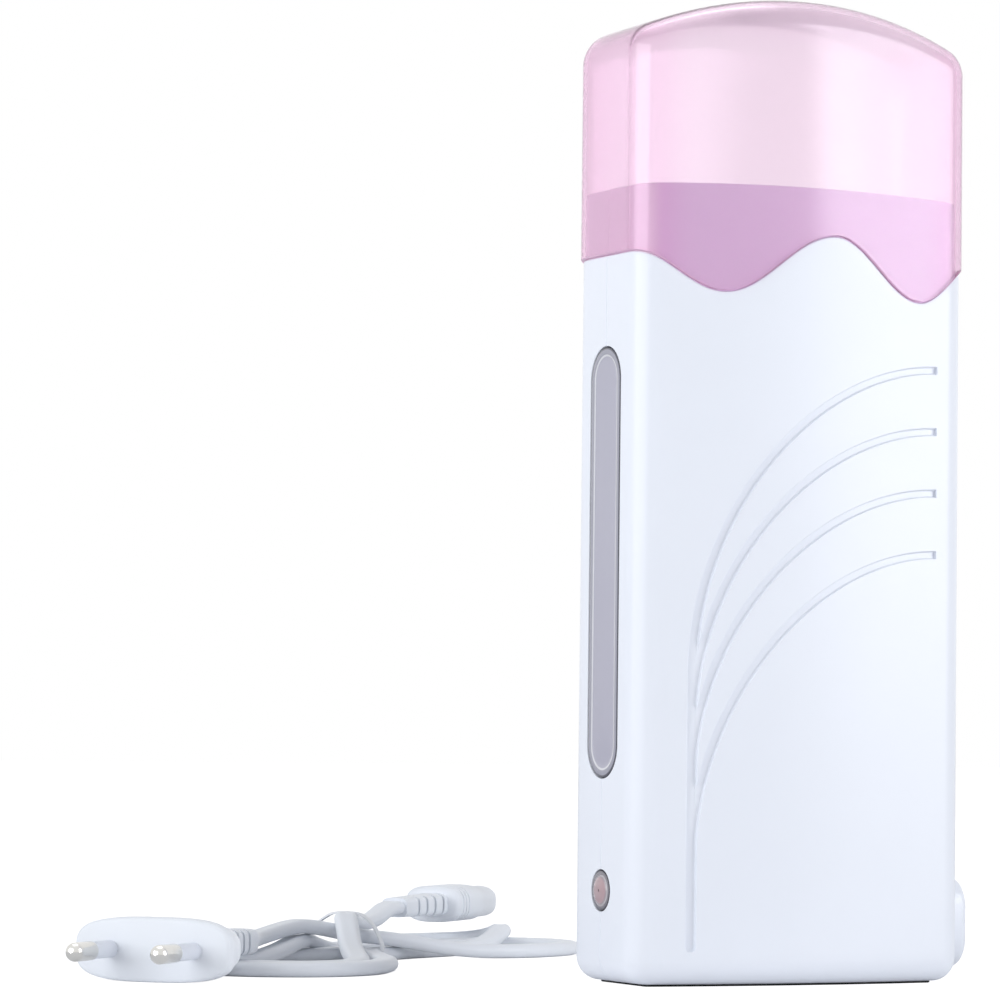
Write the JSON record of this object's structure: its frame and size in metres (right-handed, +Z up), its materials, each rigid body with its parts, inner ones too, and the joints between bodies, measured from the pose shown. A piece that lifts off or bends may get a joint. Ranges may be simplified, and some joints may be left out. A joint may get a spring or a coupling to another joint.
{
  "type": "roll-on wax heater",
  "caption": "Upright heater for a roll-on wax cartridge, with a clear domed cap, a level window, an indicator light and a loose flat mains lead.",
  "frame": {"origin": "middle of the foot pad's underside, on the table", "axes": "+Z up through the cap, -Y out of the grooved front face, -X towards the window and the light, +X towards the mains inlet"},
  "size_m": [0.1978, 0.1875, 0.2105],
  "materials": {
    "housing": "satin white",
    "cap": "clear pink tint",
    "window": "clear smoked lilac",
    "light_lens": "clear rose tint",
    "lamp": "clear",
    "pad": "matt black",
    "sleeve": "mill",
    "heater": "mill",
    "spring_steel": "satin",
    "insulation": "matt",
    "phenolic": "matt black",
    "fuse": "satin",
    "resistor": "lacquered",
    "contacts": "nickel plated",
    "live_cover": "satin",
    "neutral_cover": "satin",
    "lead_cover": "satin",
    "screws": "zinc plated",
    "vinyl": "satin white",
    "pin_cover": "satin",
    "socket_brass": "plain",
    "tie": "satin"
  },
  "bodies": {
    "root": {"front_shell": "housing", "rear_shell": "housing", "foot_pad": "pad", "top_frame": "housing", "wax_sleeve": "sleeve", "window_lens": "window", "indicator_lens": "light_lens", "indicator_lamp": "lamp", "lamp_resistor": "resistor", "heating_plate": "heater", "heater_clip": "spring_steel", "insulating_sheet": "insulation", "thermostat": "phenolic", "thermostat_bracket": "spring_steel", "thermal_fuse": "fuse", "inlet_socket": "housing", "inlet_contacts": "contacts", "live_wire": "live_cover", "neutral_wire": "neutral_cover", "switched_wire": "live_cover", "lamp_wires": "lead_cover", "housing_screws": "screws", "plug_body": "vinyl", "plug_relief": "vinyl", "plug_pins": "contacts", "pin_sleeves": "pin_cover", "connector_body": "vinyl", "connector_relief": "vinyl", "connector_contacts": "socket_brass", "plug_lead": "vinyl", "cord_hank": "vinyl", "connector_lead": "vinyl", "cord_tie": "tie"},
    "cap": {"cap": "cap"}
  },
  "joints": [
    {"name": "cap_lift", "type": "slide", "parent": "root", "child": "cap", "axis": [0, 0, 1], "range_m": [0, 0.06]}
  ]
}
